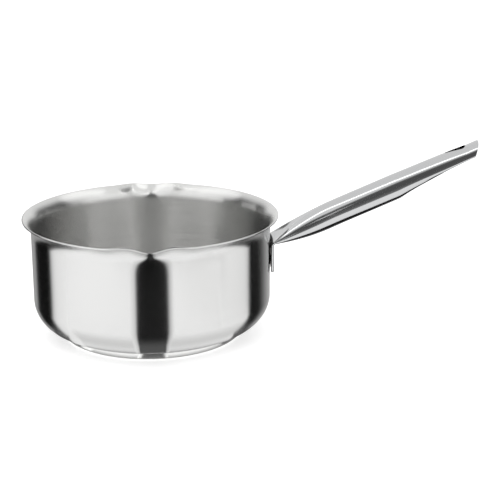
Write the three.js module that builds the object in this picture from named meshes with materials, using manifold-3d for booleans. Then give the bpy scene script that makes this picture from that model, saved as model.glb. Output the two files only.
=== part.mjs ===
// Saucepan with two pouring spouts, a sandwich base and a welded tube handle.
// Millimetres, +Z up. The origin is on the pan's axis at the underside of the base.
// The handle points along +X and the spouts face +Y and -Y.

import * as THREE from 'three';
import { mergeVertices } from 'three/addons/utils/BufferGeometryUtils.js';
import Module from 'manifold-3d';

// Pan body, drawn from one sheet
const PAN_INNER_DIAMETER = 160;
const PAN_WALL = 1;
const PAN_HEIGHT = 82.6; // table to the top of the lip
const CORNER_RADIUS = 20.3; // outside, between the wall and the bottom
const LIP_REACH = 6.1; // how far the lip flares past the wall
const LIP_ANGLE = 62; // degrees from upright at the lip's edge

// Pouring spouts, pressed into the lip and the wall below it
const SPOUT_OUT = 3.2; // how far the throat of the spout stands out
const SPOUT_DROP = 1.2; // how far the lip dips in the throat
const SPOUT_HALF_WIDTH = 12.2; // throat to where the V runs out, along the lip
const SPOUT_ROUNDING = 2.9; // softens the crease of the V
const SHOULDER_IN = 1.4; // the lip beside the V is drawn in
const SHOULDER_LIFT = 1; // and stands a little higher
const SHOULDER_OFFSET = 14.4; // throat to the middle of a shoulder, along the lip
const SPOUT_DEPTH = 26; // the pressing is gone from the wall this far below the lip
const SPOUT_FADING = 5; // power of its fading: the higher, the closer it keeps to the lip

// Sandwich base: an aluminium disc closed in by a steel cap
const BASE_THICKNESS = 5.7;
const BASE_OVERHANG = 1.2; // how far the base reaches under the rounded corner
const CAP_SHEET = 0.6;
const CAP_EDGE_RADIUS = 1.6;
const CAP_RIM_GAP = 0.3; // groove between the cap's rim and the pan
const DISC_SIDE_GAP = 0.3; // between the disc and the cap's wall

// Handle, one round tube that is flattened and bent to a weld tab at the pan
// and pressed to a crescent at the free end
const TUBE_DIAMETER = 17.4;
const TUBE_WALL = 1;
const HANDLE_BELOW_RIM = 19.8; // rim to the corner of the bend
const HANDLE_RISE = 23.1; // degrees above level
const HANDLE_LENGTH = 154.9; // corner of the bend to the tip, along the tube
const FLATTEN_LENGTH = 42; // from the flat root to the full round tube
const ROOT_SAG = 0.5; // the root hangs a little below the straight line of the tube
const ROOT_SAG_LENGTH = 50;
const DENT_DEPTH = 1.3; // the pressed top of the root sinks between its side beads
const DENT_LENGTH = 18;
const DENT_EDGE = 6; // power of the dent's profile across: the higher, the steeper its sides
const BEND_RADIUS = 2.5; // at the middle of the flattened tube
const TAB_HEIGHT = 20; // corner of the bend to the lower edge
const TAB_CORNER_RADIUS = 1.5;
const TAB_BOW_FADE = 12; // the root loses the pan's curve over this length
const LAYER_START = 1.5; // the two flattened layers part this far from the bend
const TAIL_LENGTH = 64; // the pressed free end, up to the tip
const TAIL_START_ROUNDING = 2.3; // softens the corner where the pressing starts
const TAIL_EASE = 1.4; // how far the pressing dwells on its way to the crescent
const CRESCENT_LENGTH = 8.7; // the full crescent, up to the tip
const CRESCENT_WIDTH = 16.9;
const CRESCENT_CROWN = 7.2; // above the tube's axis
const CRESCENT_LAYER_GAP = 0.4; // between the upper and the pressed-up lower layer
const TIP_SLANT = 5.8; // how far the crown of the tip reaches past its sides
const TIP_SLANT_LENGTH = 14; // over which the sections lean to the slanted tip

// Hanging slot, a teardrop through both layers of the free end
const SLOT_WIDE_RADIUS = 3.3;
const SLOT_NARROW_RADIUS = 0.8;
const SLOT_CENTRES = 10.4; // between the wide and the narrow end
const SLOT_TO_TIP = 12.7; // centre of the wide end to the tip

// Spot welds that hold the tab to the pan
const WELD_DIAMETER = 5;
const WELD_STANDOFF = 0.9; // between the pan's wall and the tab
const WELD_SIDE_MARGIN = 6; // weld centre to the tab's side edge
const WELD_END_MARGIN = 5; // weld centre to the tab's lower edge and to the bend
const SEAT_GAP = 0.25; // clearance between a weld and each sheet

// Fineness of the curved surfaces
const PAN_SEGMENTS = 96;
const BASE_SEGMENTS = 64;
const SPOUT_CROWDING = 0.6; // how strongly the pan's segments gather at the spouts
const CORNER_STEPS = 6;
const CAP_EDGE_STEPS = 3;
const WALL_STEPS = 4; // they gather towards the lip
const LIP_STEPS = 6;
const SECTION_POINTS = 40;
const BEND_STEPS = 4;
const FLATTEN_STEPS = 12;
const TAIL_STEPS = 12;
const SLOT_STEPS = 10;
const WELD_SEGMENTS = 20;
const CUT_OVERRUN = 3; // how far a cutting solid runs past what it cuts

// Sizes that follow from the ones above
const radians = THREE.MathUtils.degToRad;
const panInnerRadius = PAN_INNER_DIAMETER / 2;
const panOuterRadius = panInnerRadius + PAN_WALL;
const wallMidRadius = panInnerRadius + PAN_WALL / 2;
const flatRadius = panOuterRadius - CORNER_RADIUS;
const lipAngle = radians(LIP_ANGLE);
const lipRadius = LIP_REACH / (1 - Math.cos(lipAngle));
const lipStart = PAN_HEIGHT - (lipRadius + PAN_WALL / 2) * Math.sin(lipAngle);
const baseRadius = flatRadius + BASE_OVERHANG;

const tubeRadius = TUBE_DIAMETER / 2;
const tubePerimeter = Math.PI * TUBE_DIAMETER;
const rise = radians(HANDLE_RISE);
const rootHeight = PAN_HEIGHT - HANDLE_BELOW_RIM;
const tabInnerRadius = panOuterRadius + WELD_STANDOFF;
const tabMidRadius = tabInnerRadius + TUBE_WALL;
const tabBottom = rootHeight - TAB_HEIGHT;
const bendTurn = Math.PI / 2 - rise;
const bendTangent = BEND_RADIUS * Math.tan(bendTurn / 2);
const crescentThickness = 2 * TUBE_WALL + CRESCENT_LAYER_GAP;

const wasm = await Module();
wasm.setup();

function smoothstep(low, high, value) {
  return THREE.MathUtils.smoothstep(value, low, high);
}

function clampToOne(value) {
  return THREE.MathUtils.clamp(value, 0, 1);
}

// Evenly spaced values from first to last, both included
function spread(first, last, steps) {
  return Array.from({ length: steps + 1 }, (_, i) => THREE.MathUtils.lerp(first, last, i / steps));
}

// A profile of [radius, height] points turned about the Z axis
function revolve(profile, segments) {
  const points = profile.map(([radius, height]) => new THREE.Vector2(radius, height));
  return new THREE.LatheGeometry(points, segments).rotateX(Math.PI / 2);
}

// Rings with equal numbers of points joined into a closed skin
function loft(rings) {
  const count = rings[0].length;
  const positions = rings.flat().flatMap((point) => point.toArray());
  const index = [];
  for (let ring = 0; ring + 1 < rings.length; ring += 1) {
    for (let i = 0; i < count; i += 1) {
      const a = ring * count + i;
      const b = ring * count + (i + 1) % count;
      index.push(a, b + count, b, a, a + count, b + count);
    }
  }
  const geometry = new THREE.BufferGeometry();
  geometry.setAttribute('position', new THREE.Float32BufferAttribute(positions, 3));
  return { geometry, index, count };
}

// The flat end faces of a loft, from the two-dimensional outlines of its end rings
function capEnds({ geometry, index, count }, firstOutline, lastOutline) {
  const lastStart = geometry.attributes.position.count - count;
  for (const [a, b, c] of THREE.ShapeUtils.triangulateShape(firstOutline, [])) {
    index.push(a, c, b);
  }
  for (const [a, b, c] of THREE.ShapeUtils.triangulateShape(lastOutline, [])) {
    index.push(lastStart + a, lastStart + b, lastStart + c);
  }
  geometry.setIndex(index);
  return geometry;
}

function toSolid(geometry) {
  const bare = geometry.clone();
  bare.deleteAttribute('normal');
  bare.deleteAttribute('uv');
  const merged = mergeVertices(bare);
  return new wasm.Manifold(new wasm.Mesh({
    numProp: 3,
    vertProperties: new Float32Array(merged.attributes.position.array),
    triVerts: new Uint32Array(merged.index.array),
  }));
}

function toGeometry(solid) {
  const mesh = solid.getMesh();
  const geometry = new THREE.BufferGeometry();
  geometry.setAttribute('position', new THREE.BufferAttribute(new Float32Array(mesh.vertProperties), 3));
  geometry.setIndex(new THREE.BufferAttribute(new Uint32Array(mesh.triVerts), 1));
  return geometry;
}

// One side of the pan's sheet from the axis to the lip's edge, at an offset
// outwards from the middle of the sheet
function panSheet(offset) {
  const cornerHeight = BASE_THICKNESS + CORNER_RADIUS;
  const cornerArc = CORNER_RADIUS - PAN_WALL / 2 + offset;
  const lipArc = lipRadius - offset;
  const points = [[0, cornerHeight - cornerArc]];
  for (const turn of spread(-Math.PI / 2, 0, CORNER_STEPS)) {
    points.push([flatRadius + cornerArc * Math.cos(turn), cornerHeight + cornerArc * Math.sin(turn)]);
  }
  for (const left of spread(1, 0, WALL_STEPS).slice(1, -1)) {
    points.push([wallMidRadius + offset, THREE.MathUtils.lerp(lipStart, cornerHeight, left * left)]);
  }
  for (const turn of spread(0, lipAngle, LIP_STEPS)) {
    points.push([
      wallMidRadius + lipRadius - lipArc * Math.cos(turn),
      lipStart + lipArc * Math.sin(turn),
    ]);
  }
  return points;
}

// How the spout moves a point of the pan, from its distance along the lip to the
// throat and its height
function spoutShift(distance, height) {
  const fade = clampToOne(1 - (PAN_HEIGHT - height) / SPOUT_DEPTH) ** SPOUT_FADING;
  const fromThroat = Math.hypot(distance, SPOUT_ROUNDING) - SPOUT_ROUNDING;
  const vee = (1 - clampToOne(fromThroat / SPOUT_HALF_WIDTH)) ** 2;
  const swing = Math.min(Math.abs(distance - SHOULDER_OFFSET) / SHOULDER_OFFSET, 1);
  const shoulder = (1 + Math.cos(Math.PI * swing)) / 2;
  return {
    out: fade * (SPOUT_OUT * vee - SHOULDER_IN * shoulder),
    up: fade * (SHOULDER_LIFT * shoulder - SPOUT_DROP * vee),
  };
}

// The pan: a revolved sheet with its segments gathered at the spouts, which are then
// pressed into it
function panBodyGeometry() {
  const outside = panSheet(PAN_WALL / 2);
  const inside = panSheet(-PAN_WALL / 2);
  const geometry = revolve([...outside, ...inside.reverse()], PAN_SEGMENTS);
  const position = geometry.attributes.position;
  for (let i = 0; i < position.count; i += 1) {
    const radius = Math.hypot(position.getX(i), position.getY(i));
    const even = Math.atan2(position.getX(i), -position.getY(i));
    const angle = even - (SPOUT_CROWDING / 2) * Math.sin(2 * even);
    const toSpout = Math.abs(Math.asin(Math.sin(angle)));
    const shift = spoutShift(toSpout * panOuterRadius, position.getZ(i));
    const reach = radius + shift.out;
    position.setXYZ(i, reach * Math.sin(angle), -reach * Math.cos(angle), position.getZ(i) + shift.up);
  }
  return geometry;
}

// The cap: a shallow steel cup with a rounded lower edge
function baseCapGeometry() {
  const rim = BASE_THICKNESS - CAP_RIM_GAP;
  const edgeCentre = baseRadius - CAP_EDGE_RADIUS;
  const innerEdge = CAP_EDGE_RADIUS - CAP_SHEET;
  const edge = (radius) => spread(-Math.PI / 2, 0, CAP_EDGE_STEPS).map((turn) => [
    edgeCentre + radius * Math.cos(turn),
    CAP_EDGE_RADIUS + radius * Math.sin(turn),
  ]);
  return revolve([
    [0, 0],
    ...edge(CAP_EDGE_RADIUS),
    [baseRadius, rim],
    [baseRadius - CAP_SHEET, rim],
    ...edge(innerEdge).reverse(),
    [0, CAP_SHEET],
  ], BASE_SEGMENTS);
}

// The disc: fills the cap, with a bevel that clears the cap's rounded edge
function heatSpreaderGeometry() {
  const radius = baseRadius - CAP_SHEET - DISC_SIDE_GAP;
  const bevel = CAP_EDGE_RADIUS - CAP_SHEET;
  return revolve([
    [0, CAP_SHEET],
    [radius - bevel, CAP_SHEET],
    [radius, CAP_SHEET + bevel],
    [radius, BASE_THICKNESS],
    [0, BASE_THICKNESS],
  ], BASE_SEGMENTS);
}

// Half the length of the flats of a flattened section, whose beads have a given radius
function halfFlat(bead) {
  return (tubePerimeter - 2 * Math.PI * bead) / 4;
}

// A point of the flattened section: two flats joined by round beads, with the tube's
// own girth, at a share of the way round from the crown
function flattenedPoint(share, along, inset, flatTrim) {
  const opened = clampToOne((along - bendTangent) / FLATTEN_LENGTH);
  const bead = tubeRadius - (tubeRadius - TUBE_WALL) * (1 - opened) ** 2;
  const flat = halfFlat(bead);
  const half = share <= 0.5 ? 1 : -1;
  const travelled = tubePerimeter * (half > 0 ? share : 1 - share);
  const arc = (travelled - flat) / bead;
  const inner = bead - inset;
  const kept = flat > 0 ? 1 - flatTrim / flat : 0;
  if (arc < 0) {
    const dented = clampToOne((along - bendTangent) / DENT_LENGTH);
    const sunk = DENT_DEPTH * Math.sin(Math.PI * dented) ** 2;
    const middle = 1 - (travelled / flat) ** DENT_EDGE;
    return [half * travelled * kept, inner - sunk * middle];
  }
  if (arc < Math.PI) {
    return [half * (flat - flatTrim + inner * Math.sin(arc)), inner * Math.cos(arc)];
  }
  const rest = tubePerimeter / 2 - travelled;
  return [half * rest * kept, -inner];
}

function quarterEllipse(width, height) {
  return (Math.PI / 2) * Math.hypot(width, height) / Math.SQRT2;
}

// A point of the crescent section: an upper arch, a fold at each side and the lower
// half of the tube pressed up under the arch
function crescentPoint(share, inset) {
  const half = share <= 0.5 ? 1 : -1;
  const width = CRESCENT_WIDTH / 2;
  const fold = crescentThickness / 2;
  const under = [width - crescentThickness, CRESCENT_CROWN - crescentThickness];
  const upperLength = quarterEllipse(width, CRESCENT_CROWN);
  const foldLength = Math.PI * fold;
  const lowerLength = quarterEllipse(...under);
  const total = upperLength + foldLength + lowerLength;
  const travelled = 2 * total * (half > 0 ? share : 1 - share);
  if (travelled < upperLength) {
    const turn = (Math.PI / 2) * travelled / upperLength;
    return [half * (width - inset) * Math.sin(turn), (CRESCENT_CROWN - inset) * Math.cos(turn)];
  }
  if (travelled < upperLength + foldLength) {
    const turn = Math.PI * (travelled - upperLength) / foldLength;
    return [half * (width - fold + (fold - inset) * Math.cos(turn)), (inset - fold) * Math.sin(turn)];
  }
  const turn = (Math.PI / 2) * (total - travelled) / lowerLength;
  return [half * (under[0] + inset) * Math.sin(turn), (under[1] + inset) * Math.cos(turn)];
}

// How far the tube is pressed from round to the crescent at a distance from the bend
function pressedShare(along) {
  const run = TAIL_LENGTH - CRESCENT_LENGTH;
  const into = run * clampToOne((along - (HANDLE_LENGTH - TAIL_LENGTH)) / run);
  const eased = Math.hypot(into, TAIL_START_ROUNDING) - TAIL_START_ROUNDING;
  const share = eased / (Math.hypot(run, TAIL_START_ROUNDING) - TAIL_START_ROUNDING);
  return share * (1 - TAIL_EASE * share * (1 - share));
}

// The tube's outline at a distance from the bend, drawn in from its outside by an inset
function sectionOutline(along, inset, flatTrim = 0) {
  const pressed = pressedShare(along);
  return Array.from({ length: SECTION_POINTS }, (_, i) => {
    const share = i / SECTION_POINTS;
    const plain = new THREE.Vector2(...flattenedPoint(share, along, inset, flatTrim));
    return plain.lerp(new THREE.Vector2(...crescentPoint(share, inset)), pressed);
  });
}

// A section's outline set in space: at a place of the handle's middle plane, square to
// a direction in that plane, bowed to the pan's curve and sheared to the slanted tip
function setRing(outline, place, direction, bow, slant) {
  return outline.map(({ x: across, y: above }) => {
    const sag = bow * (tabMidRadius - Math.sqrt(tabMidRadius ** 2 - across ** 2));
    const back = slant * (1 - above / CRESCENT_CROWN);
    return new THREE.Vector3(
      place.x - sag - back * Math.cos(direction) - above * Math.sin(direction),
      across,
      place.y - back * Math.sin(direction) + above * Math.cos(direction),
    );
  });
}

// A ring of the straight tube at a distance from the corner of the bend
function tubeRing(along, inset) {
  const sag = ROOT_SAG * Math.sin(Math.PI * clampToOne((along - bendTangent) / ROOT_SAG_LENGTH)) ** 2;
  const place = new THREE.Vector2(
    tabMidRadius + along * Math.cos(rise),
    rootHeight + along * Math.sin(rise) - sag,
  );
  const bow = 1 - smoothstep(0, TAB_BOW_FADE, along);
  const slant = TIP_SLANT * smoothstep(HANDLE_LENGTH - TIP_SLANT_LENGTH, HANDLE_LENGTH, along);
  return setRing(sectionOutline(along, inset), place, rise, bow, slant);
}

// The weld tab's rings, with its lower corners rounded
function tabRings() {
  const heights = [
    ...spread(tabBottom, tabBottom + TAB_CORNER_RADIUS, BEND_STEPS),
    rootHeight - bendTangent,
  ];
  return heights.map((height) => {
    const left = Math.max(TAB_CORNER_RADIUS - (height - tabBottom), 0);
    const trim = TAB_CORNER_RADIUS - Math.sqrt(TAB_CORNER_RADIUS ** 2 - left ** 2);
    return setRing(sectionOutline(0, 0, trim), new THREE.Vector2(tabMidRadius, height), Math.PI / 2, 1, 0);
  });
}

// The rings of the bend between the upright tab and the rising tube
function bendRings() {
  const centre = new THREE.Vector2(tabMidRadius + BEND_RADIUS, rootHeight - bendTangent);
  return spread(0, bendTurn, BEND_STEPS).slice(1, -1).map((turn) => {
    const spoke = new THREE.Vector2(-Math.cos(turn), Math.sin(turn)).multiplyScalar(BEND_RADIUS);
    return setRing(sectionOutline(0, 0), centre.clone().add(spoke), Math.PI / 2 - turn, 1, 0);
  });
}

// The teardrop that cuts the hanging slot, square to the tube's crown
function slotCutter() {
  const lean = Math.asin((SLOT_WIDE_RADIUS - SLOT_NARROW_RADIUS) / SLOT_CENTRES);
  const outline = new THREE.Shape();
  const wideEnd = Math.PI / 2 + lean;
  outline.absarc(0, 0, SLOT_WIDE_RADIUS, -wideEnd, wideEnd, false);
  outline.absarc(-SLOT_CENTRES, 0, SLOT_NARROW_RADIUS, wideEnd, 2 * Math.PI - wideEnd, false);
  const depth = tubeRadius + CRESCENT_CROWN + 2 * CUT_OVERRUN;
  const cutter = new THREE.ExtrudeGeometry(outline, {
    depth,
    bevelEnabled: false,
    curveSegments: SLOT_STEPS,
  });
  const along = HANDLE_LENGTH - SLOT_TO_TIP;
  return cutter
    .translate(along, 0, -tubeRadius - CUT_OVERRUN)
    .rotateY(-rise)
    .translate(tabMidRadius, 0, rootHeight);
}

// The handle: the tab, the bend and the tube as one skin, less the hollow between its
// layers, which is open at the tip, and less the hanging slot
function handleGeometry() {
  const tailStart = HANDLE_LENGTH - TAIL_LENGTH;
  const layerStart = bendTangent + LAYER_START;
  const stations = [
    ...spread(layerStart, bendTangent + FLATTEN_LENGTH, FLATTEN_STEPS),
    ...spread(tailStart, HANDLE_LENGTH, TAIL_STEPS),
  ].sort((a, b) => a - b);
  const skin = [
    ...tabRings(),
    ...bendRings(),
    ...[bendTangent, ...stations].map((along) => tubeRing(along, 0)),
  ];
  const hollow = [...stations, HANDLE_LENGTH + CUT_OVERRUN].map((along) => tubeRing(along, TUBE_WALL));
  const tipSkin = sectionOutline(HANDLE_LENGTH, 0);
  const tipHollow = sectionOutline(HANDLE_LENGTH, TUBE_WALL);
  const outer = capEnds(loft(skin), sectionOutline(0, 0, TAB_CORNER_RADIUS), tipSkin);
  const inner = capEnds(loft(hollow), sectionOutline(layerStart, TUBE_WALL), tipHollow);
  return toGeometry(toSolid(outer).subtract(toSolid(inner)).subtract(toSolid(slotCutter())));
}

// One spot weld: a flat button between the pan's wall and the tab
function weldGeometry() {
  const thickness = WELD_STANDOFF - 2 * SEAT_GAP;
  return new THREE.CylinderGeometry(WELD_DIAMETER / 2, WELD_DIAMETER / 2, thickness, WELD_SEGMENTS)
    .rotateZ(-Math.PI / 2);
}

const satinSteel = { color: 0xc8c8c6, roughness: 0.32, metalness: 1 };
const polishedSteel = { color: 0xd2d3d4, roughness: 0.16, metalness: 1 };
const capSteel = { color: 0xcfd0cf, roughness: 0.26, metalness: 1 };
const aluminium = { color: 0xb4b7ba, roughness: 0.45, metalness: 1 };
const weldSteel = { color: 0x8d8b88, roughness: 0.5, metalness: 1 };

const saucepan = new THREE.Group();
saucepan.name = 'saucepan';

function addPiece(name, geometry, finish) {
  const mesh = new THREE.Mesh(geometry, new THREE.MeshStandardMaterial(finish));
  mesh.name = name;
  saucepan.add(mesh);
  return mesh;
}

addPiece('pan_body', panBodyGeometry(), satinSteel);
addPiece('heat_spreader', heatSpreaderGeometry(), aluminium);
addPiece('base_cap', baseCapGeometry(), capSteel);
addPiece('handle_tube', handleGeometry(), polishedSteel);

// The welds stand in two rows and two columns between the pan and the tab
const tabHalfWidth = halfFlat(TUBE_WALL) + TUBE_WALL;
const weldAcross = tabHalfWidth - WELD_SIDE_MARGIN;
const weldRadius = panOuterRadius + WELD_STANDOFF / 2;
let weldNumber = 0;
for (const height of [tabBottom + WELD_END_MARGIN, rootHeight - bendTangent - WELD_END_MARGIN]) {
  for (const side of [-1, 1]) {
    weldNumber += 1;
    const weld = addPiece(`spot_weld_${weldNumber}`, weldGeometry(), weldSteel);
    const turn = side * Math.asin(weldAcross / weldRadius);
    weld.position.set(weldRadius * Math.cos(turn), weldRadius * Math.sin(turn), height);
    weld.rotation.z = turn;
  }
}

export default saucepan;
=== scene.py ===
"""Saucepan with two pouring spouts, a sandwich base and a welded tube handle.

Metres, +Z up. The origin is on the pan's axis at the underside of the base. The handle
points along +X and the spouts face +Y and -Y.
"""

import math

import bmesh
import bpy
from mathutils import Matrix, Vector


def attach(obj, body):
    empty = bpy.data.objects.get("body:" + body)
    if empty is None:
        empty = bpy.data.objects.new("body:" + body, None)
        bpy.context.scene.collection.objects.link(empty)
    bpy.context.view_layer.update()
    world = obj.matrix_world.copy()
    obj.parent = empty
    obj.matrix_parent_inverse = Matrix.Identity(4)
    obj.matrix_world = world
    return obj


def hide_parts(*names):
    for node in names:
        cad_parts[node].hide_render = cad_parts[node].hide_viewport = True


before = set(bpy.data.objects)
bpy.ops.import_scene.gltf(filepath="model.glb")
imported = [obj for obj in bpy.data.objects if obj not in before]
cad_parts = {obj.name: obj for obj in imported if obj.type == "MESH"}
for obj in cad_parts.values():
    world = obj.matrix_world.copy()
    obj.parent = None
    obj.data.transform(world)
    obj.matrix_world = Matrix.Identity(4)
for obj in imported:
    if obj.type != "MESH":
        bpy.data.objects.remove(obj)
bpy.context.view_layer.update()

# Pan body, drawn from one sheet
PAN_INNER_RADIUS = 0.080
PAN_WALL = 0.001
PAN_HEIGHT = 0.0826
CORNER_RADIUS = 0.0203
LIP_REACH = 0.0061
LIP_ANGLE = math.radians(62)

# Pouring spouts, pressed into the lip and the wall below it
SPOUT_OUT = 0.0032
SPOUT_DROP = 0.0012
SPOUT_HALF_WIDTH = 0.0122
SPOUT_ROUNDING = 0.0029
SHOULDER_IN = 0.0014
SHOULDER_LIFT = 0.001
SHOULDER_OFFSET = 0.0144
SPOUT_DEPTH = 0.026
SPOUT_FADING = 5

# Sandwich base
BASE_THICKNESS = 0.0057
BASE_OVERHANG = 0.0012
CAP_SHEET = 0.0006
CAP_EDGE_RADIUS = 0.0016
CAP_RIM_GAP = 0.0003

# Handle, one round tube flattened to a weld tab and pressed to a crescent
TUBE_RADIUS = 0.0087
TUBE_WALL = 0.001
HANDLE_BELOW_RIM = 0.0198
HANDLE_RISE = math.radians(23.1)
HANDLE_LENGTH = 0.1549
FLATTEN_LENGTH = 0.042
ROOT_SAG = 0.0005
ROOT_SAG_LENGTH = 0.050
DENT_DEPTH = 0.0013
DENT_LENGTH = 0.018
DENT_EDGE = 6
BEND_RADIUS = 0.0025
TAB_HEIGHT = 0.020
TAB_CORNER_RADIUS = 0.0015
TAB_EDGE_ROUNDING = 0.0003
TAB_BOW_FADE = 0.012
TOWARDS_PAN = -0.3
LAYER_START = 0.0015
TAIL_LENGTH = 0.064
TAIL_START_ROUNDING = 0.0023
TAIL_EASE = 1.4
CRESCENT_LENGTH = 0.0087
CRESCENT_WIDTH = 0.0169
CRESCENT_CROWN = 0.0072
CRESCENT_LAYER_GAP = 0.0004
TIP_SLANT = 0.0058
TIP_SLANT_LENGTH = 0.014
TIP_EDGE_ROUNDING = 0.0003
WELD_STANDOFF = 0.0009

# Hanging slot, a teardrop through both layers of the free end
SLOT_WIDE_RADIUS = 0.0033
SLOT_NARROW_RADIUS = 0.0008
SLOT_CENTRES = 0.0104
SLOT_TO_TIP = 0.0127
SLOT_OVERRUN = 0.003

# Fineness of the curved surfaces
PAN_SEGMENTS = 480
SPOUT_CROWDING = 0.6
FLOOR_STEPS = 8
CORNER_STEPS = 28
WALL_STEPS = 40
LIP_STEPS = 20
EDGE_STEPS = 8
SECTION_POINTS = 144
TUBE_STEPS = 150
BEND_STEPS = 10
SLOT_STEPS = 24
SHARP_ANGLE = math.radians(40)

# Camera, at the viewing angle of the photograph
CAMERA_PLACE = (0.0132, -0.8247, 0.3052)
CAMERA_TILT = math.radians(16.83)
CAMERA_HEADING = math.radians(3.765)
CAMERA_LENS = 90.24
CAMERA_SENSOR = 36.0

# Colours of the metals
OUTSIDE_COLOR = (0.65, 0.65, 0.645)
# Lighter than the outside of the same sheet: painted light that brightens the pan's inside
INSIDE_BRIGHTENED_COLOR = (0.73, 0.73, 0.72)
# Far lighter than the pan's steel: painted light that keeps the base band bright where it mirrors the
# floor's contact shadow
CAP_BRIGHTENED_COLOR = (0.95, 0.95, 0.94)
HANDLE_COLOR = (0.58, 0.585, 0.59)
# Near-black painted shade for the tab's back and the bend's underside, where the gap at the wall lies in
# shadow
TAB_BACK_SHADE_COLOR = (0.12, 0.12, 0.12)
ALUMINIUM_COLOR = (0.71, 0.72, 0.73)
WELD_COLOR = (0.55, 0.54, 0.53)

# Finish of each metal, with the pitch and depth of the brushed lines
OUTSIDE_FINISH = {
    "roughness": 0.20, "anisotropic": 1.0, "line_pitch": 0.0006, "line_depth": 0.000015, "shade": 0.03,
}
INSIDE_FINISH = {
    "roughness": 0.23, "anisotropic": 1.0, "line_pitch": 0.0012, "line_depth": 0.00002, "shade": 0.05,
}
CAP_FINISH = {
    "roughness": 0.26, "anisotropic": 0.8, "line_pitch": 0.0006, "line_depth": 0.00002, "shade": 0.03,
}
HANDLE_ROUGHNESS = 0.12
TAB_BACK_ROUGHNESS = 0.6
ALUMINIUM_ROUGHNESS = 0.45
WELD_ROUGHNESS = 0.5
ROUGHNESS_SPREAD = 0.1
QUARTER_TURN = 0.25
LINES_ROUND = 2.0
LINE_DETAIL = 4.0
LINE_STRENGTH = 0.3
POLISH_LINE = (0.08, 0.0006, 0.0006)
POLISH_DETAIL = 3.0
POLISH_SHADE = 0.97
GRAIN_SCALE = 900.0
GRAIN_DETAIL = 4.0
GRAIN_SHADE = 0.8

# Floor
FLOOR_HALF_SIZE = 4.0
FLOOR_DEPTH = 0.0002
FLOOR_GRAY = 0.8
FLOOR_GLOW = 0.58

# Room: brightness by turn, from the camera's side at 0 to the back at 1, under a ceiling
ROOM_STOPS = [
    (0.00, 0.11), (0.08, 0.11), (0.11, 1.1), (0.35, 1.1), (0.42, 0.75), (0.47, 0.4), (0.53, 0.12),
    (0.58, 0.012), (0.77, 0.012), (0.84, 0.85), (1.0, 0.9),
]
CEILING = 0.95
CEILING_LOW = 0.53
CEILING_HIGH = 0.82
CEILING_DIP = 0.45
BACKDROP = 1.0

# Overhead softbox
SOFTBOX_PLACE = (-0.28, -0.40, 1.1)
SOFTBOX_TARGET = (0.05, 0.0, 0.05)
SOFTBOX_SIZE = (2.2, 0.15)
SOFTBOX_POWER = 1.7

# Cards round the pan that only reflections see, with stops of (turn in degrees, tone)
CARD_TONE = "tone"
CARD_STEPS = 12
CARD_LIFT = 0.0002
CARD_FADE = 0.022
FOOT_RADIUS = 0.0645
FOOT_TONE = 0.12
FRONT_STOPS = [(-10, 1.2), (-7.8, 0.9), (-6.9, 0.003), (7.3, 0.003), (8.3, 0.72), (10, 1.15)]
FRONT_LENGTH = 0.25
FRONT_UPRIGHT = 0.2
LEFT_STOPS = [
    (-89, 0.42), (-73, 0.42), (-71, 0.003), (-55.2, 0.003), (-54.2, 0.95), (-52.5, 1.12), (-44, 1.25),
]
RIGHT_STOPS = [(63, 0.02), (66, 0.1), (72, 0.35), (80, 0.55), (89, 0.6)]
SIDE_LENGTH = 0.15
SIDE_UPRIGHT = 0.14
RIGHT_UPRIGHT = 0.07
BAND_STOPS = [(52.7, 0.006), (63, 0.008)]
BAND_LENGTH = 0.32
RING_SEGMENTS = 96
RING_STOPS = [
    (0.0622, 0.25), (0.066, 0.4), (0.07, 1.0), (0.075, 1.1), (0.082, 0.88), (0.092, 0.92), (0.105, 1.1),
]

# Cards on the floor by the handle, and a screen beside them
# The light card has stops of (y, tone), the other two have rows of (y, left x, right x, tone)
HANDLE_LIGHT_SIDES = (0.13, 0.32)
HANDLE_LIGHT_STOPS = [
    (0.10, 0.3), (0.04, 0.55), (0.02, 0.85), (0.0, 1.05), (-0.03, 1.13), (-0.06, 1.16), (-0.13, 1.16),
    (-0.19, 1.12),
]
HANDLE_DARK_ROWS = [
    (-0.19, 0.13, 0.6, 1.12), (-0.205, 0.13, 0.6, 0.24), (-0.38, 0.1, 0.6, 0.18), (-0.9, -0.3, 1.0, 0.12),
    (-1.5, -1.0, 1.5, 0.12), (-3.9, -3.0, 3.0, 0.12),
]
SIDE_CARD_ROWS = [(0.06, 0.32, 0.8, 1.3), (-0.18, 0.32, 0.8, 1.3)]
SCREEN_FOOT = [(0.10, -0.09), (0.13, -0.9)]
SCREEN_HEIGHT = 0.06
SCREEN_TONE = 1.16

# Folded dark card before and over the pan, mirrored in the middle of its far inside: (half width, y, z)
INSIDE_CARD_EDGES = [(0.045, -0.12, 0.09), (0.045, -0.12, 0.19), (0.022, -0.004, 0.19)]
INSIDE_CARD_TONE = 0.02

# Bright panel on each side, mirrored beside that middle: (front y, back y, z, tone)
PANEL_X = 0.3
PANEL_ROWS = [
    (-0.16, 0.05, 0.22, 0.8), (-0.16, 0.16, 0.32, 1.1), (-0.14, 0.28, 0.45, 1.3), (-0.1, 0.38, 0.62, 1.5),
    (0.0, 0.45, 0.8, 1.3),
]

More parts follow.
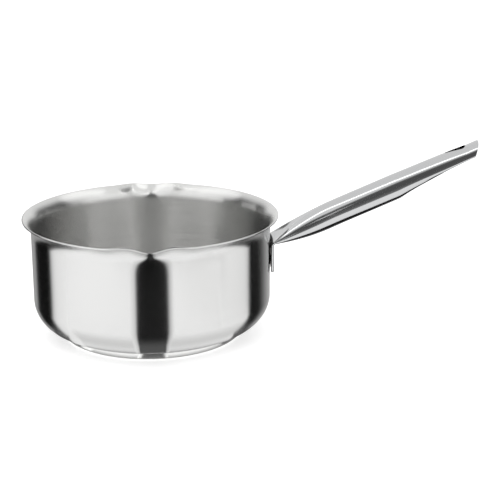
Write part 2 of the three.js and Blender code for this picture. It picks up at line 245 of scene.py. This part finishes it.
# Sizes that follow from the ones above
PAN_OUTER_RADIUS = PAN_INNER_RADIUS + PAN_WALL
WALL_MID_RADIUS = PAN_INNER_RADIUS + PAN_WALL / 2
FLAT_RADIUS = PAN_OUTER_RADIUS - CORNER_RADIUS
LIP_RADIUS = LIP_REACH / (1 - math.cos(LIP_ANGLE))
LIP_START = PAN_HEIGHT - (LIP_RADIUS + PAN_WALL / 2) * math.sin(LIP_ANGLE)
LIP_END = LIP_ANGLE - PAN_WALL / 2 / LIP_RADIUS
BASE_RADIUS = FLAT_RADIUS + BASE_OVERHANG
TUBE_GIRTH = 2 * math.pi * TUBE_RADIUS
ROOT_HEIGHT = PAN_HEIGHT - HANDLE_BELOW_RIM
TAB_RADIUS = PAN_OUTER_RADIUS + WELD_STANDOFF + TUBE_WALL
TAB_BOTTOM = ROOT_HEIGHT - TAB_HEIGHT
BEND_TURN = math.pi / 2 - HANDLE_RISE
BEND_TANGENT = BEND_RADIUS * math.tan(BEND_TURN / 2)
CRESCENT_THICKNESS = 2 * TUBE_WALL + CRESCENT_LAYER_GAP


def clamp(value):
    return min(max(value, 0.0), 1.0)


def lerp(first, last, share):
    return first + (last - first) * share


def smoothstep(low, high, value):
    share = clamp((value - low) / (high - low))
    return share * share * (3 - 2 * share)


def spread(first, last, steps):
    """Evenly spaced values from first to last, both included."""
    return [lerp(first, last, i / steps) for i in range(steps + 1)]


def mark_sharp_edges(mesh):
    """Smooth shading with creases where faces meet at a sharp angle."""
    work = bmesh.new()
    work.from_mesh(mesh)
    bmesh.ops.recalc_face_normals(work, faces=work.faces)
    for face in work.faces:
        face.smooth = True
    for edge in work.edges:
        edge.smooth = edge.calc_face_angle(0.0) < SHARP_ANGLE
    work.to_mesh(mesh)
    work.free()


def mesh_object(name, vertices, faces, materials, face_slots=None):
    mesh = bpy.data.meshes.new(name)
    mesh.from_pydata(vertices, [], faces)
    for material in materials:
        mesh.materials.append(material)
    if face_slots:
        mesh.polygons.foreach_set("material_index", face_slots)
    mark_sharp_edges(mesh)
    piece = bpy.data.objects.new(name, mesh)
    bpy.context.scene.collection.objects.link(piece)
    return piece


def revolve(profile, segments, shape):
    """Vertices, faces and each face's row for a profile of (radius, height) points.

    The profile starts and ends on the axis. shape turns a share of a turn, a radius and
    a height into a point.
    """
    vertices = []
    rows = []
    for radius, height in profile:
        start = len(vertices)
        count = segments if radius > 0 else 1
        rows.append((start, count))
        vertices += [shape(k / segments, radius, height) for k in range(count)]
    faces = []
    face_rows = []
    for row in range(len(rows) - 1):
        low, low_count = rows[row]
        high, high_count = rows[row + 1]
        for k in range(segments):
            after = (k + 1) % segments
            below = [low + k % low_count, low + after % low_count]
            above = [high + after % high_count, high + k % high_count]
            faces.append(tuple(dict.fromkeys(below + above)))
            face_rows.append(row)
    return vertices, faces, face_rows


def plain_turn(share, radius, height):
    angle = 2 * math.pi * share
    return (radius * math.sin(angle), -radius * math.cos(angle), height)


# Pan body
def pan_sheet(offset):
    """One side of the sheet from the axis to the lip, outwards from its middle by offset."""
    corner_height = BASE_THICKNESS + CORNER_RADIUS
    corner_arc = CORNER_RADIUS - PAN_WALL / 2 + offset
    lip_arc = LIP_RADIUS - offset
    points = [(radius, corner_height - corner_arc) for radius in spread(0, FLAT_RADIUS, FLOOR_STEPS)[:-1]]
    for turn in spread(-math.pi / 2, 0, CORNER_STEPS):
        radius = FLAT_RADIUS + corner_arc * math.cos(turn)
        points.append((radius, corner_height + corner_arc * math.sin(turn)))
    for left in spread(1, 0, WALL_STEPS)[1:-1]:
        points.append((WALL_MID_RADIUS + offset, lerp(LIP_START, corner_height, left * left)))
    for turn in spread(0, LIP_END, LIP_STEPS):
        radius = WALL_MID_RADIUS + LIP_RADIUS - lip_arc * math.cos(turn)
        points.append((radius, LIP_START + lip_arc * math.sin(turn)))
    return points


def lip_edge():
    """The rounded edge of the sheet, from its outside to its inside."""
    radius = WALL_MID_RADIUS + LIP_RADIUS * (1 - math.cos(LIP_END))
    height = LIP_START + LIP_RADIUS * math.sin(LIP_END)
    points = []
    for turn in spread(0, math.pi, EDGE_STEPS)[1:-1]:
        out = PAN_WALL / 2 * math.cos(turn)
        onward = PAN_WALL / 2 * math.sin(turn)
        points.append((
            radius + out * math.cos(LIP_END) + onward * math.sin(LIP_END),
            height - out * math.sin(LIP_END) + onward * math.cos(LIP_END),
        ))
    return points


def spout_shift(distance, height):
    """How far the spout moves a point out and up, from its distance along the lip to the throat."""
    fade = clamp(1 - (PAN_HEIGHT - height) / SPOUT_DEPTH) ** SPOUT_FADING
    from_throat = math.hypot(distance, SPOUT_ROUNDING) - SPOUT_ROUNDING
    vee = (1 - clamp(from_throat / SPOUT_HALF_WIDTH)) ** 2
    swing = min(abs(distance - SHOULDER_OFFSET) / SHOULDER_OFFSET, 1)
    shoulder = (1 + math.cos(math.pi * swing)) / 2
    out = fade * (SPOUT_OUT * vee - SHOULDER_IN * shoulder)
    up = fade * (SHOULDER_LIFT * shoulder - SPOUT_DROP * vee)
    return out, up


def pan_point(share, radius, height):
    even = 2 * math.pi * share
    angle = even - SPOUT_CROWDING / 2 * math.sin(2 * even)
    to_spout = abs(math.asin(math.sin(angle)))
    out, up = spout_shift(to_spout * PAN_OUTER_RADIUS, height)
    reach = radius + out
    return (reach * math.sin(angle), -reach * math.cos(angle), height + up)


def make_pan_body(outside_steel, inside_steel):
    outside = pan_sheet(PAN_WALL / 2)
    edge = lip_edge()
    inside = pan_sheet(-PAN_WALL / 2)
    vertices, faces, face_rows = revolve(outside + edge + inside[::-1], PAN_SEGMENTS, pan_point)
    inside_start = len(outside) + len(edge) - 1
    slots = [1 if row >= inside_start else 0 for row in face_rows]
    return mesh_object("pan_shell", vertices, faces, [outside_steel, inside_steel], slots)


# Base cap
def make_base_cap(steel):
    rim = BASE_THICKNESS - CAP_RIM_GAP
    edge_centre = BASE_RADIUS - CAP_EDGE_RADIUS

    def edge(radius):
        turns = spread(-math.pi / 2, 0, EDGE_STEPS)
        return [(edge_centre + radius * math.cos(t), CAP_EDGE_RADIUS + radius * math.sin(t)) for t in turns]

    rim_round = CAP_SHEET / 2
    rim_turns = spread(0, math.pi, EDGE_STEPS)
    rim_edge = [
        (BASE_RADIUS - rim_round + rim_round * math.cos(t), rim - rim_round + rim_round * math.sin(t))
        for t in rim_turns
    ]
    outer_edge = edge(CAP_EDGE_RADIUS)
    inner_edge = edge(CAP_EDGE_RADIUS - CAP_SHEET)[::-1]
    profile = [(0, 0), *outer_edge, *rim_edge, *inner_edge, (0, CAP_SHEET)]
    vertices, faces, _ = revolve(profile, PAN_SEGMENTS, plain_turn)
    return mesh_object("base_cup", vertices, faces, [steel])


# Handle
def half_flat(bead):
    return (TUBE_GIRTH - 2 * math.pi * bead) / 4


def flattened_point(share, along, inset, flat_trim):
    """A point of the flattened section: two flats joined by round beads, with the tube's girth."""
    opened = clamp((along - BEND_TANGENT) / FLATTEN_LENGTH)
    bead = TUBE_RADIUS - (TUBE_RADIUS - TUBE_WALL) * (1 - opened) ** 2
    flat = half_flat(bead)
    half = 1 if share <= 0.5 else -1
    travelled = TUBE_GIRTH * (share if half > 0 else 1 - share)
    arc = (travelled - flat) / bead
    inner = bead - inset
    kept = 1 - flat_trim / flat if flat > 0 else 0
    if arc < 0:
        sunk = DENT_DEPTH * math.sin(math.pi * clamp((along - BEND_TANGENT) / DENT_LENGTH)) ** 2
        middle = 1 - (travelled / flat) ** DENT_EDGE
        return half * travelled * kept, inner - sunk * middle
    if arc < math.pi:
        return half * (flat - flat_trim + inner * math.sin(arc)), inner * math.cos(arc)
    rest = TUBE_GIRTH / 2 - travelled
    return half * rest * kept, -inner


def quarter_ellipse(width, height):
    return math.pi / 2 * math.hypot(width, height) / math.sqrt(2)


def crescent_point(share, inset):
    """A point of the crescent section: an arch, folded sides and the half pressed up under it."""
    half = 1 if share <= 0.5 else -1
    width = CRESCENT_WIDTH / 2
    fold = CRESCENT_THICKNESS / 2
    under_width = width - CRESCENT_THICKNESS
    under_crown = CRESCENT_CROWN - CRESCENT_THICKNESS
    upper_length = quarter_ellipse(width, CRESCENT_CROWN)
    fold_length = math.pi * fold
    lower_length = quarter_ellipse(under_width, under_crown)
    total = upper_length + fold_length + lower_length
    travelled = 2 * total * (share if half > 0 else 1 - share)
    if travelled < upper_length:
        turn = math.pi / 2 * travelled / upper_length
        return half * (width - inset) * math.sin(turn), (CRESCENT_CROWN - inset) * math.cos(turn)
    if travelled < upper_length + fold_length:
        turn = math.pi * (travelled - upper_length) / fold_length
        return half * (width - fold + (fold - inset) * math.cos(turn)), (inset - fold) * math.sin(turn)
    turn = math.pi / 2 * (total - travelled) / lower_length
    return half * (under_width + inset) * math.sin(turn), (under_crown + inset) * math.cos(turn)


def section(along, inset, flat_trim=0.0):
    """The tube's outline at a distance from the bend, drawn in from its outside by an inset."""
    run = TAIL_LENGTH - CRESCENT_LENGTH
    into = run * clamp((along - (HANDLE_LENGTH - TAIL_LENGTH)) / run)
    eased = math.hypot(into, TAIL_START_ROUNDING) - TAIL_START_ROUNDING
    share = eased / (math.hypot(run, TAIL_START_ROUNDING) - TAIL_START_ROUNDING)
    pressed = share * (1 - TAIL_EASE * share * (1 - share))
    outline = []
    for i in range(SECTION_POINTS):
        plain = flattened_point(i / SECTION_POINTS, along, inset, flat_trim)
        folded = crescent_point(i / SECTION_POINTS, inset)
        outline.append((lerp(plain[0], folded[0], pressed), lerp(plain[1], folded[1], pressed)))
    return outline


def set_ring(outline, place_x, place_z, direction, bow, slant):
    """An outline set square to a direction in the handle's plane, bowed to the pan and slanted."""
    ring = []
    for across, above in outline:
        sag = bow * (TAB_RADIUS - math.sqrt(TAB_RADIUS ** 2 - across ** 2))
        back = slant * (1 - above / CRESCENT_CROWN)
        x = place_x - sag - back * math.cos(direction) - above * math.sin(direction)
        z = place_z - back * math.sin(direction) + above * math.cos(direction)
        ring.append((x, across, z))
    return ring


def tube_ring(along, inset):
    place_x = TAB_RADIUS + along * math.cos(HANDLE_RISE)
    sag = ROOT_SAG * math.sin(math.pi * clamp((along - BEND_TANGENT) / ROOT_SAG_LENGTH)) ** 2
    place_z = ROOT_HEIGHT + along * math.sin(HANDLE_RISE) - sag
    bow = 1 - smoothstep(0, TAB_BOW_FADE, along)
    slant = TIP_SLANT * smoothstep(HANDLE_LENGTH - TIP_SLANT_LENGTH, HANDLE_LENGTH, along)
    return set_ring(section(along, inset), place_x, place_z, HANDLE_RISE, bow, slant)


def tab_ring(height, inset):
    left = clamp((TAB_CORNER_RADIUS - (height - TAB_BOTTOM)) / TAB_CORNER_RADIUS) * TAB_CORNER_RADIUS
    trim = TAB_CORNER_RADIUS - math.sqrt(TAB_CORNER_RADIUS ** 2 - left ** 2)
    return set_ring(section(0, inset, trim), TAB_RADIUS, height, math.pi / 2, 1, 0)


def tab_rings():
    """The weld tab from its rounded lower edge up to the bend."""
    rings = []
    for turn in spread(0, math.pi / 2, EDGE_STEPS):
        inset = TAB_EDGE_ROUNDING * (1 - math.sin(turn))
        rings.append(tab_ring(TAB_BOTTOM + TAB_EDGE_ROUNDING * (1 - math.cos(turn)), inset))
    corner_top = TAB_BOTTOM + TAB_CORNER_RADIUS
    for height in spread(TAB_BOTTOM + TAB_EDGE_ROUNDING, corner_top, BEND_STEPS)[1:]:
        rings.append(tab_ring(height, 0))
    for height in spread(corner_top, ROOT_HEIGHT - BEND_TANGENT, BEND_STEPS)[1:]:
        rings.append(tab_ring(height, 0))
    return rings


def bend_rings():
    centre_x = TAB_RADIUS + BEND_RADIUS
    centre_z = ROOT_HEIGHT - BEND_TANGENT
    rings = []
    for turn in spread(0, BEND_TURN, BEND_STEPS)[1:-1]:
        place_x = centre_x - BEND_RADIUS * math.cos(turn)
        place_z = centre_z + BEND_RADIUS * math.sin(turn)
        rings.append(set_ring(section(0, 0), place_x, place_z, math.pi / 2 - turn, 1, 0))
    return rings


def tip_rings():
    """The rounded edge of the open tip, from the outside of the tube to its inside."""
    rings = []
    for turn in spread(0, math.pi / 2, EDGE_STEPS):
        along = HANDLE_LENGTH - TIP_EDGE_ROUNDING * (1 - math.sin(turn))
        rings.append(tube_ring(along, TIP_EDGE_ROUNDING * (1 - math.cos(turn))))
    for turn in spread(math.pi / 2, 0, EDGE_STEPS):
        along = HANDLE_LENGTH - TIP_EDGE_ROUNDING * (1 - math.sin(turn))
        rings.append(tube_ring(along, TUBE_WALL - TIP_EDGE_ROUNDING * (1 - math.cos(turn))))
    return rings


def loft(rings):
    """Vertices and faces of a skin over rings of equal length, with its two ends closed."""
    count = len(rings[0])
    vertices = [point for ring in rings for point in ring]
    faces = []
    for ring in range(len(rings) - 1):
        for i in range(count):
            after = (i + 1) % count
            low = ring * count
            faces.append((low + i, low + after, low + count + after, low + count + i))
    faces.append(tuple(range(count)))
    faces.append(tuple(range(len(vertices) - count, len(vertices))))
    return vertices, faces


def slot_outline():
    lean = math.asin((SLOT_WIDE_RADIUS - SLOT_NARROW_RADIUS) / SLOT_CENTRES)
    wide_end = math.pi / 2 + lean
    points = []
    for turn in spread(-wide_end, wide_end, 2 * SLOT_STEPS):
        points.append((SLOT_WIDE_RADIUS * math.cos(turn), SLOT_WIDE_RADIUS * math.sin(turn)))
    for turn in spread(wide_end, 2 * math.pi - wide_end, SLOT_STEPS):
        onward = SLOT_NARROW_RADIUS * math.cos(turn) - SLOT_CENTRES
        points.append((onward, SLOT_NARROW_RADIUS * math.sin(turn)))
    return points


def slot_ring(above):
    ring = []
    for onward, across in slot_outline():
        along = HANDLE_LENGTH - SLOT_TO_TIP + onward
        x = TAB_RADIUS + along * math.cos(HANDLE_RISE) - above * math.sin(HANDLE_RISE)
        z = ROOT_HEIGHT + along * math.sin(HANDLE_RISE) + above * math.cos(HANDLE_RISE)
        ring.append((x, across, z))
    return ring


def cut_slot(handle):
    """Cuts the hanging slot through both layers of the handle's free end."""
    rings = [slot_ring(-SLOT_OVERRUN), slot_ring(CRESCENT_CROWN + SLOT_OVERRUN)]
    cutter = mesh_object("slot_cutter", *loft(rings), [])
    boolean = handle.modifiers.new("hanging_slot", "BOOLEAN")
    boolean.operation = "DIFFERENCE"
    boolean.solver = "EXACT"
    boolean.object = cutter
    cut = bpy.data.meshes.new_from_object(handle.evaluated_get(bpy.context.evaluated_depsgraph_get()))
    handle.modifiers.clear()
    handle.data = cut
    bpy.data.objects.remove(cutter)
    mark_sharp_edges(cut)


def shade_tab_back(handle):
    """Gives the side of the tab that faces the pan, and the bend's underside, its second material: a
    near-black painted shade for the shadowed gap at the wall.
    """
    for face in handle.data.polygons:
        towards_pan = face.normal.x < TOWARDS_PAN
        if towards_pan and face.center.x < TAB_RADIUS and face.center.z < ROOT_HEIGHT + TUBE_WALL:
            face.material_index = 1


def make_handle(steel, tab_back_shade):
    layer_start = BEND_TANGENT + LAYER_START
    tube_end = HANDLE_LENGTH - TIP_EDGE_ROUNDING
    skin = [tube_ring(along, 0) for along in spread(BEND_TANGENT, tube_end, TUBE_STEPS)[:-1]]
    hollow = [tube_ring(along, TUBE_WALL) for along in spread(tube_end, layer_start, TUBE_STEPS)[1:]]
    vertices, faces = loft([*tab_rings(), *bend_rings(), *skin, *tip_rings(), *hollow])
    handle = mesh_object("handle", vertices, faces, [steel, tab_back_shade])
    cut_slot(handle)
    shade_tab_back(handle)
    return handle


# Materials
def new_material(name):
    material = bpy.data.materials.new(name)
    material.use_nodes = True
    nodes = material.node_tree.nodes
    return material, nodes, material.node_tree.links, nodes["Principled BSDF"]


def math_node(nodes, links, operation, first, second=None):
    node = nodes.new("ShaderNodeMath")
    node.operation = operation
    for socket, value in zip(node.inputs, (first, second)):
        if value is None:
            continue
        if isinstance(value, (int, float)):
            socket.default_value = value
        else:
            links.new(value, socket)
    return node.outputs[0]


def noise_node(nodes, links, vector, scale, detail):
    noise = nodes.new("ShaderNodeTexNoise")
    noise.inputs["Scale"].default_value = scale
    noise.inputs["Detail"].default_value = detail
    links.new(vector, noise.inputs["Vector"])
    return noise.outputs["Fac"]


def vary_color(nodes, links, shader, noise, color, darker, lighter):
    """Lets the base colour vary with a noise between two shares of a colour."""
    tint = nodes.new("ShaderNodeMix")
    tint.data_type = "RGBA"
    tint.inputs["A"].default_value = (*[min(c * darker, 1) for c in color], 1)
    tint.inputs["B"].default_value = (*[min(c * lighter, 1) for c in color], 1)
    links.new(noise, tint.inputs["Factor"])
    links.new(tint.outputs["Result"], shader.inputs["Base Color"])


def vary_roughness(nodes, links, shader, noise, roughness):
    spread_out = nodes.new("ShaderNodeMapRange")
    spread_out.inputs["To Min"].default_value = roughness * (1 - ROUGHNESS_SPREAD)
    spread_out.inputs["To Max"].default_value = roughness * (1 + ROUGHNESS_SPREAD)
    links.new(noise, spread_out.inputs["Value"])
    links.new(spread_out.outputs["Result"], shader.inputs["Roughness"])


def ring_space(nodes, links, line_pitch):
    """A space in which a noise becomes long lines round the pan's axis, a line pitch apart."""
    place = nodes.new("ShaderNodeTexCoord")
    split = nodes.new("ShaderNodeSeparateXYZ")
    links.new(place.outputs["Object"], split.inputs[0])
    x, y, z = split.outputs
    x_squared = math_node(nodes, links, "MULTIPLY", x, x)
    y_squared = math_node(nodes, links, "MULTIPLY", y, y)
    radius = math_node(nodes, links, "SQRT", math_node(nodes, links, "ADD", x_squared, y_squared))
    climb = math_node(nodes, links, "ADD", radius, z)
    space = nodes.new("ShaderNodeCombineXYZ")
    for socket, side in zip(space.inputs, (x, y)):
        turn = math_node(nodes, links, "DIVIDE", side, radius)
        links.new(math_node(nodes, links, "MULTIPLY", turn, LINES_ROUND), socket)
    links.new(math_node(nodes, links, "MULTIPLY", climb, 1 / line_pitch), space.inputs[2])
    return space.outputs[0]


def brushed_steel(name, color, roughness, anisotropic, line_pitch, line_depth, shade):
    """Steel brushed round the pan's axis: fine rings that blur reflections across them."""
    material, nodes, links, shader = new_material(name)
    shader.inputs["Metallic"].default_value = 1.0
    shader.inputs["Anisotropic"].default_value = anisotropic
    shader.inputs["Anisotropic Rotation"].default_value = QUARTER_TURN
    tangent = nodes.new("ShaderNodeTangent")
    tangent.direction_type = "RADIAL"
    tangent.axis = "Z"
    links.new(tangent.outputs["Tangent"], shader.inputs["Tangent"])
    noise = noise_node(nodes, links, ring_space(nodes, links, line_pitch), 1.0, LINE_DETAIL)
    vary_color(nodes, links, shader, noise, color, 1 - shade, 1 + shade)
    vary_roughness(nodes, links, shader, noise, roughness)
    bump = nodes.new("ShaderNodeBump")
    bump.inputs["Strength"].default_value = LINE_STRENGTH
    bump.inputs["Distance"].default_value = line_depth
    links.new(noise, bump.inputs["Height"])
    links.new(bump.outputs["Normal"], shader.inputs["Normal"])
    return material


def polished_steel(name, color, roughness):
    """Polished steel with faint lines along the tube."""
    material, nodes, links, shader = new_material(name)
    shader.inputs["Metallic"].default_value = 1.0
    place = nodes.new("ShaderNodeTexCoord")
    along = nodes.new("ShaderNodeMapping")
    along.vector_type = "TEXTURE"
    along.inputs["Rotation"].default_value = (0, -HANDLE_RISE, 0)
    along.inputs["Scale"].default_value = POLISH_LINE
    links.new(place.outputs["Object"], along.inputs["Vector"])
    noise = noise_node(nodes, links, along.outputs[0], 1.0, POLISH_DETAIL)
    vary_color(nodes, links, shader, noise, color, POLISH_SHADE, 1)
    vary_roughness(nodes, links, shader, noise, roughness)
    return material


def grainy_metal(name, color, roughness):
    """Bare metal with an uneven grain, for the closed-in disc and the welds, and for the tab's back, where
    its colour is painted shade.
    """
    material, nodes, links, shader = new_material(name)
    shader.inputs["Metallic"].default_value = 1.0
    shader.inputs["Roughness"].default_value = roughness
    place = nodes.new("ShaderNodeTexCoord")
    noise = noise_node(nodes, links, place.outputs["Object"], GRAIN_SCALE, GRAIN_DETAIL)
    vary_color(nodes, links, shader, noise, color, GRAIN_SHADE, 1)
    return material


# Stage
def make_camera():
    data = bpy.data.cameras.new("camera")
    data.lens = CAMERA_LENS
    data.sensor_width = CAMERA_SENSOR
    camera = bpy.data.objects.new("camera", data)
    camera.location = CAMERA_PLACE
    camera.rotation_euler = (math.pi / 2 - CAMERA_TILT, 0, -CAMERA_HEADING)
    bpy.context.scene.collection.objects.link(camera)
    bpy.context.scene.camera = camera


def make_floor():
    material, _, _, shader = new_material("floor")
    shader.inputs["Base Color"].default_value = (FLOOR_GRAY, FLOOR_GRAY, FLOOR_GRAY, 1)
    shader.inputs["Roughness"].default_value = 1.0
    shader.inputs["Specular IOR Level"].default_value = 0.0
    shader.inputs["Emission Color"].default_value = (1, 1, 1, 1)
    shader.inputs["Emission Strength"].default_value = FLOOR_GLOW
    size = FLOOR_HALF_SIZE
    sides = [(-size, -size), (size, -size), (size, size), (-size, size)]
    corners = [(x, y, -FLOOR_DEPTH) for x, y in sides]
    mesh_object("floor", corners, [(0, 1, 2, 3)], [material])


def card_glow():
    """The tone of a card, as each of its corners gives it."""
    material = bpy.data.materials.new("card")
    material.use_nodes = True
    nodes = material.node_tree.nodes
    links = material.node_tree.links
    nodes.remove(nodes["Principled BSDF"])
    tone = nodes.new("ShaderNodeAttribute")
    tone.attribute_name = CARD_TONE
    emission = nodes.new("ShaderNodeEmission")
    links.new(tone.outputs["Color"], emission.inputs["Color"])
    links.new(emission.outputs[0], nodes["Material Output"].inputs["Surface"])
    return material


def make_card(name, material, rows, closed=False):
    """A sheet that only reflections see, from rows of equal length of (point, tone)."""
    count = len(rows[0])
    points = [point for row in rows for point, tone in row]
    tones = [tone for row in rows for point, tone in row]
    faces = []
    for low in range(0, len(points) - count, count):
        for i in range(count if closed else count - 1):
            after = (i + 1) % count
            faces.append((low + i, low + after, low + count + after, low + count + i))
    card = mesh_object(name, points, faces, [material])
    attribute = card.data.attributes.new(CARD_TONE, "FLOAT_COLOR", "POINT")
    for spot, tone in zip(attribute.data, tones):
        spot.color = (tone, tone, tone, 1)
    card.visible_camera = False
    card.visible_diffuse = False
    card.visible_shadow = False


def make_wall_card(name, material, stops, length, upright):
    """A card that lies on the floor where the pan's wall mirrors it, and stands up at its far end.

    The stops are (turn, tone): a turn in degrees from -Y towards +X of the wall's points whose
    reflection the card fills, and how bright it is there.
    """
    foot_row = []
    near_row = []
    full_row = []
    far_row = []
    top_row = []
    for (turn, tone), (next_turn, next_tone) in zip(stops, stops[1:]):
        for share in spread(0, 1, CARD_STEPS):
            angle = math.radians(lerp(turn, next_turn, share))
            outward = Vector((math.sin(angle), -math.cos(angle), 0))
            mirrored = Vector((math.sin(2 * angle), -math.cos(2 * angle), 0))
            lift = Vector((0, 0, CARD_LIFT))
            near = PAN_OUTER_RADIUS * outward + lift
            far = near + length * mirrored
            full_tone = lerp(tone, next_tone, share)
            foot_tone = max(full_tone, FOOT_TONE)
            foot_row.append((FOOT_RADIUS * outward + lift, foot_tone))
            near_row.append((near, foot_tone))
            full_row.append((near + CARD_FADE * mirrored, full_tone))
            far_row.append((far, full_tone))
            top_row.append((far + Vector((0, 0, upright)), full_tone))
    make_card(name, material, [foot_row, near_row, full_row, far_row, top_row])


def make_ring_card(name, material, stops):
    """A flat ring round the pan's foot. The stops are (radius, tone)."""
    shares = spread(0, 1, RING_SEGMENTS)[:-1]
    rows = [[(plain_turn(share, radius, CARD_LIFT / 2), tone) for share in shares] for radius, tone in stops]
    make_card(name, material, rows, closed=True)


def make_floor_card(name, material, rows):
    """A card on the floor. The rows are (y, left x, right x, tone)."""
    height = CARD_LIFT / 2
    make_card(name, material, [
        [((left, y, height), tone), ((right, y, height), tone)] for y, left, right, tone in rows
    ])


def make_plain_card(name, material, tone, edges):
    """A card of one tone, from its edges, which are pairs of points."""
    make_card(name, material, [[(point, tone) for point in edge] for edge in edges])


def make_cards():
    material = card_glow()
    make_wall_card("front_card", material, FRONT_STOPS, FRONT_LENGTH, FRONT_UPRIGHT)
    make_wall_card("left_card", material, LEFT_STOPS, SIDE_LENGTH, SIDE_UPRIGHT)
    make_wall_card("right_band", material, BAND_STOPS, BAND_LENGTH, SIDE_UPRIGHT)
    make_wall_card("right_card", material, RIGHT_STOPS, SIDE_LENGTH, RIGHT_UPRIGHT)
    make_ring_card("foot_ring", material, RING_STOPS)
    make_floor_card("handle_light_card", material, [
        (y, *HANDLE_LIGHT_SIDES, tone) for y, tone in HANDLE_LIGHT_STOPS
    ])
    make_floor_card("handle_dark_card", material, HANDLE_DARK_ROWS)
    make_floor_card("side_card", material, SIDE_CARD_ROWS)
    make_plain_card("screen_card", material, SCREEN_TONE, [
        [(x, y, 0), (x, y, SCREEN_HEIGHT)] for x, y in SCREEN_FOOT
    ])
    make_plain_card("inside_card", material, INSIDE_CARD_TONE, [
        [(-half, y, z), (half, y, z)] for half, y, z in INSIDE_CARD_EDGES
    ])
    for name, x in (("left_panel", -PANEL_X), ("right_panel", PANEL_X)):
        make_card(name, material, [
            [((x, front, z), tone), ((x, back, z), tone)] for front, back, z, tone in PANEL_ROWS
        ])


def make_softbox():
    data = bpy.data.lights.new("overhead_softbox", "AREA")
    data.shape = "RECTANGLE"
    data.size, data.size_y = SOFTBOX_SIZE
    data.energy = SOFTBOX_POWER
    light = bpy.data.objects.new("overhead_softbox", data)
    light.location = SOFTBOX_PLACE
    aim = Vector(SOFTBOX_TARGET) - Vector(SOFTBOX_PLACE)
    light.rotation_euler = aim.to_track_quat("-Z", "Y").to_euler()
    bpy.context.scene.collection.objects.link(light)


def mix_colors(nodes, links, factor, first, gray):
    mix = nodes.new("ShaderNodeMix")
    mix.data_type = "RGBA"
    mix.inputs["B"].default_value = (gray, gray, gray, 1)
    links.new(factor, mix.inputs["Factor"])
    links.new(first, mix.inputs["A"])
    return mix.outputs["Result"]


def make_room():
    """Light from all round: by turn near the floor, one tone overhead, and a plain backdrop."""
    world = bpy.data.worlds.new("room")
    world.use_nodes = True
    bpy.context.scene.world = world
    nodes = world.node_tree.nodes
    links = world.node_tree.links
    place = nodes.new("ShaderNodeTexCoord")
    split = nodes.new("ShaderNodeSeparateXYZ")
    links.new(place.outputs["Generated"], split.inputs[0])
    x, y, z = split.outputs
    turn = math_node(nodes, links, "ARCTAN2", x, math_node(nodes, links, "MULTIPLY", y, -1.0))
    share = math_node(nodes, links, "MULTIPLY", math_node(nodes, links, "ABSOLUTE", turn), 1 / math.pi)
    ramp = nodes.new("ShaderNodeValToRGB")
    stops = ramp.color_ramp.elements
    while len(stops) < len(ROOM_STOPS):
        stops.new(1.0)
    for stop, (position, level) in zip(stops, ROOM_STOPS):
        stop.position = position
        stop.color = (level, level, level, 1)
    links.new(share, ramp.inputs[0])
    towards_back = math_node(nodes, links, "MAXIMUM", y, 0.0)
    dip = math_node(nodes, links, "MULTIPLY", towards_back, CEILING_DIP)
    lift = nodes.new("ShaderNodeMapRange")
    lift.interpolation_type = "SMOOTHSTEP"
    lift.inputs["From Min"].default_value = CEILING_LOW
    lift.inputs["From Max"].default_value = CEILING_HIGH
    links.new(math_node(nodes, links, "ADD", z, dip), lift.inputs["Value"])
    room = mix_colors(nodes, links, lift.outputs["Result"], ramp.outputs["Color"], CEILING)
    path = nodes.new("ShaderNodeLightPath")
    seen = mix_colors(nodes, links, path.outputs["Is Camera Ray"], room, BACKDROP)
    links.new(seen, nodes["Background"].inputs["Color"])


# The part
def dress(piece, node):
    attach(piece, "root")
    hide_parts(node)


def finish_node(node, material):
    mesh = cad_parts[node].data
    mesh.materials.clear()
    mesh.materials.append(material)


bpy.context.scene.view_settings.view_transform = "Standard"
make_camera()

outside_steel = brushed_steel("pan_outside", OUTSIDE_COLOR, **OUTSIDE_FINISH)
# The inside colour is raised as painted light
inside_steel = brushed_steel("pan_inside", INSIDE_BRIGHTENED_COLOR, **INSIDE_FINISH)
# The cap colour is raised as painted light
cap_steel = brushed_steel("base_cap", CAP_BRIGHTENED_COLOR, **CAP_FINISH)
handle_steel = polished_steel("handle", HANDLE_COLOR, HANDLE_ROUGHNESS)
# The tab's back is painted dark: painted shade for the gap at the wall
tab_back_shade = grainy_metal("tab_back_painted_shade", TAB_BACK_SHADE_COLOR, TAB_BACK_ROUGHNESS)
aluminium = grainy_metal("heat_spreader", ALUMINIUM_COLOR, ALUMINIUM_ROUGHNESS)
weld_steel = grainy_metal("welds", WELD_COLOR, WELD_ROUGHNESS)

dress(make_pan_body(outside_steel, inside_steel), "pan_body")
dress(make_base_cap(cap_steel), "base_cap")
dress(make_handle(handle_steel, tab_back_shade), "handle_tube")
finish_node("heat_spreader", aluminium)
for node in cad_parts:
    if node.startswith("spot_weld"):
        finish_node(node, weld_steel)

make_floor()
make_cards()
make_softbox()
make_room()
